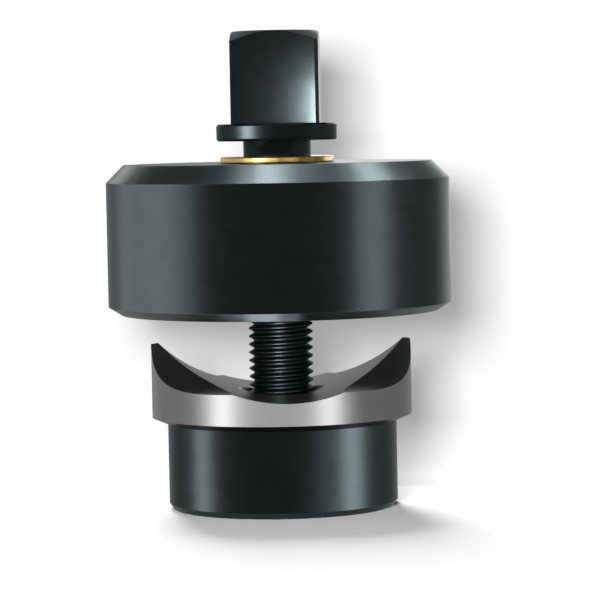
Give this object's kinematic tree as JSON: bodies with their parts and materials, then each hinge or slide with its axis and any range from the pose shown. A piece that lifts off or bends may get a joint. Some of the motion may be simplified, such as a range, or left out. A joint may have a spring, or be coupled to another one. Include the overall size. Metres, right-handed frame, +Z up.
{
  "type": "knockout punch",
  "caption": "Screw-type knockout punch: a square-headed draw screw pulls a two-horned round cutter up into a chamfered cup die to punch a round hole in sheet metal.",
  "frame": {"origin": "centre of the cutter's flat underside, on which the punch stands", "axes": "+Z up the draw screw's axis towards its square head, +X through one horn of the cutter, -Y to the front that the picture shows"},
  "size_m": [0.0534, 0.0534, 0.0739],
  "materials": {
    "cutter_steel": "black oxide skirt and facets, with the band and the saddle ground bright",
    "die_steel": "satin black oxide",
    "washer_brass": "plain rolled brass",
    "screw_steel": "satin black oxide"
  },
  "bodies": {
    "cutter": {"cutter": "cutter_steel"},
    "die": {"die": "die_steel", "thrust_washer": "washer_brass"},
    "draw_screw": {"draw_screw": "screw_steel"}
  },
  "joints": [
    {"name": "die_draw", "type": "slide", "parent": "cutter", "child": "die", "axis": [0, 0, 1], "range_m": [-0.014, 0.011]},
    {"name": "screw_turn", "type": "hinge", "parent": "die", "child": "draw_screw", "pos_m": [0, 0, 0.053], "axis": [0, 0, 1], "range_deg": [-4040, 3176]}
  ],
  "couplings": [
    {"joint": "screw_turn", "follows": "die_draw", "rad_per_m": 5026.5}
  ]
}
